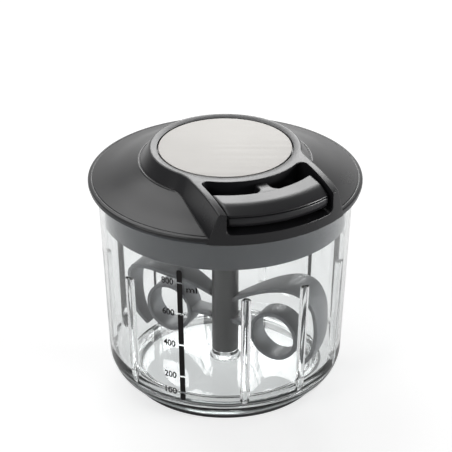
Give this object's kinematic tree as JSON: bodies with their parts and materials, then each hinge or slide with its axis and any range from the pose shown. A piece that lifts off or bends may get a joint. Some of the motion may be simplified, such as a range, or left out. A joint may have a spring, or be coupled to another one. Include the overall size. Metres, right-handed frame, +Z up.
{
  "type": "pull cord food chopper",
  "caption": "Hand food chopper: clear bowl with a mixing insert under a dark lid that holds a spring wound cord drum and a pull grip.",
  "frame": {"origin": "centre of the base on the table, on the axis of the bowl", "axes": "+Z up along the bowl's axis, the grip pulls out along -Y"},
  "size_m": [0.1374, 0.1374, 0.1285],
  "materials": {
    "clear_bowl": "clear moulded plastic",
    "foot_rubber": "matt soft rubber",
    "plain_steel": "turned steel",
    "insert_plastic": "satin moulded plastic, dark hub and grey wings",
    "collar_plastic": "satin moulded plastic",
    "seal_rubber": "soft silicone",
    "cover_plastic": "fine matt texture",
    "brushed_disc": "brushed steel, bare",
    "bush_brass": "turned brass",
    "drum_plastic": "natural acetal",
    "spring_steel": "blued spring strip",
    "cord_fabric": "braided cord"
  },
  "bodies": {
    "vessel": {"bowl": "clear_bowl", "foot_ring": "foot_rubber", "pivot_pin": "plain_steel"},
    "lid": {"lid_base": "collar_plastic", "lid_seal": "seal_rubber", "lid_cover": "cover_plastic", "disc_plate": "brushed_disc", "drive_bush": "bush_brass", "thrust_washer": "plain_steel", "spring_arbor": "bush_brass", "arbor_screw": "plain_steel", "cord_eyelet": "plain_steel", "cord_lead": "cord_fabric", "cover_screw_1": "plain_steel", "cover_screw_2": "plain_steel", "cover_screw_3": "plain_steel", "cover_screw_4": "plain_steel"},
    "handle": {"grip_upper": "cover_plastic", "grip_lower": "cover_plastic", "grip_screw_1": "plain_steel", "grip_screw_2": "plain_steel", "cord_knot": "plain_steel", "pull_cord": "cord_fabric"},
    "drum": {"cord_drum": "drum_plastic", "cord_winding": "cord_fabric", "recoil_spring": "spring_steel", "spring_plate": "plain_steel", "drive_shaft": "plain_steel"},
    "insert": {"mixing_insert": "insert_plastic"}
  },
  "joints": [
    {"name": "lid_lift", "type": "slide", "parent": "vessel", "child": "lid", "axis": [0, 0, 1], "range_m": [0, 0.13]},
    {"name": "handle_pull", "type": "slide", "parent": "lid", "child": "handle", "axis": [0, -1, 0], "range_m": [0, 0.32], "stiffness_N_per_m": 20, "springref_m": -0.3, "deforming": ["pull_cord"]},
    {"name": "drum_spin", "type": "hinge", "parent": "lid", "child": "drum", "pos_m": [0, 0, 0.115], "axis": [0, 0, 1], "range_deg": [0, 917]},
    {"name": "insert_spin", "type": "hinge", "parent": "vessel", "child": "insert", "pos_m": [0, 0, 0.02], "axis": [0, 0, 1], "range_deg": [0, 917]}
  ],
  "couplings": [
    {"joint": "drum_spin", "follows": "handle_pull", "rad_per_m": 50},
    {"joint": "insert_spin", "follows": "handle_pull", "rad_per_m": 50}
  ]
}
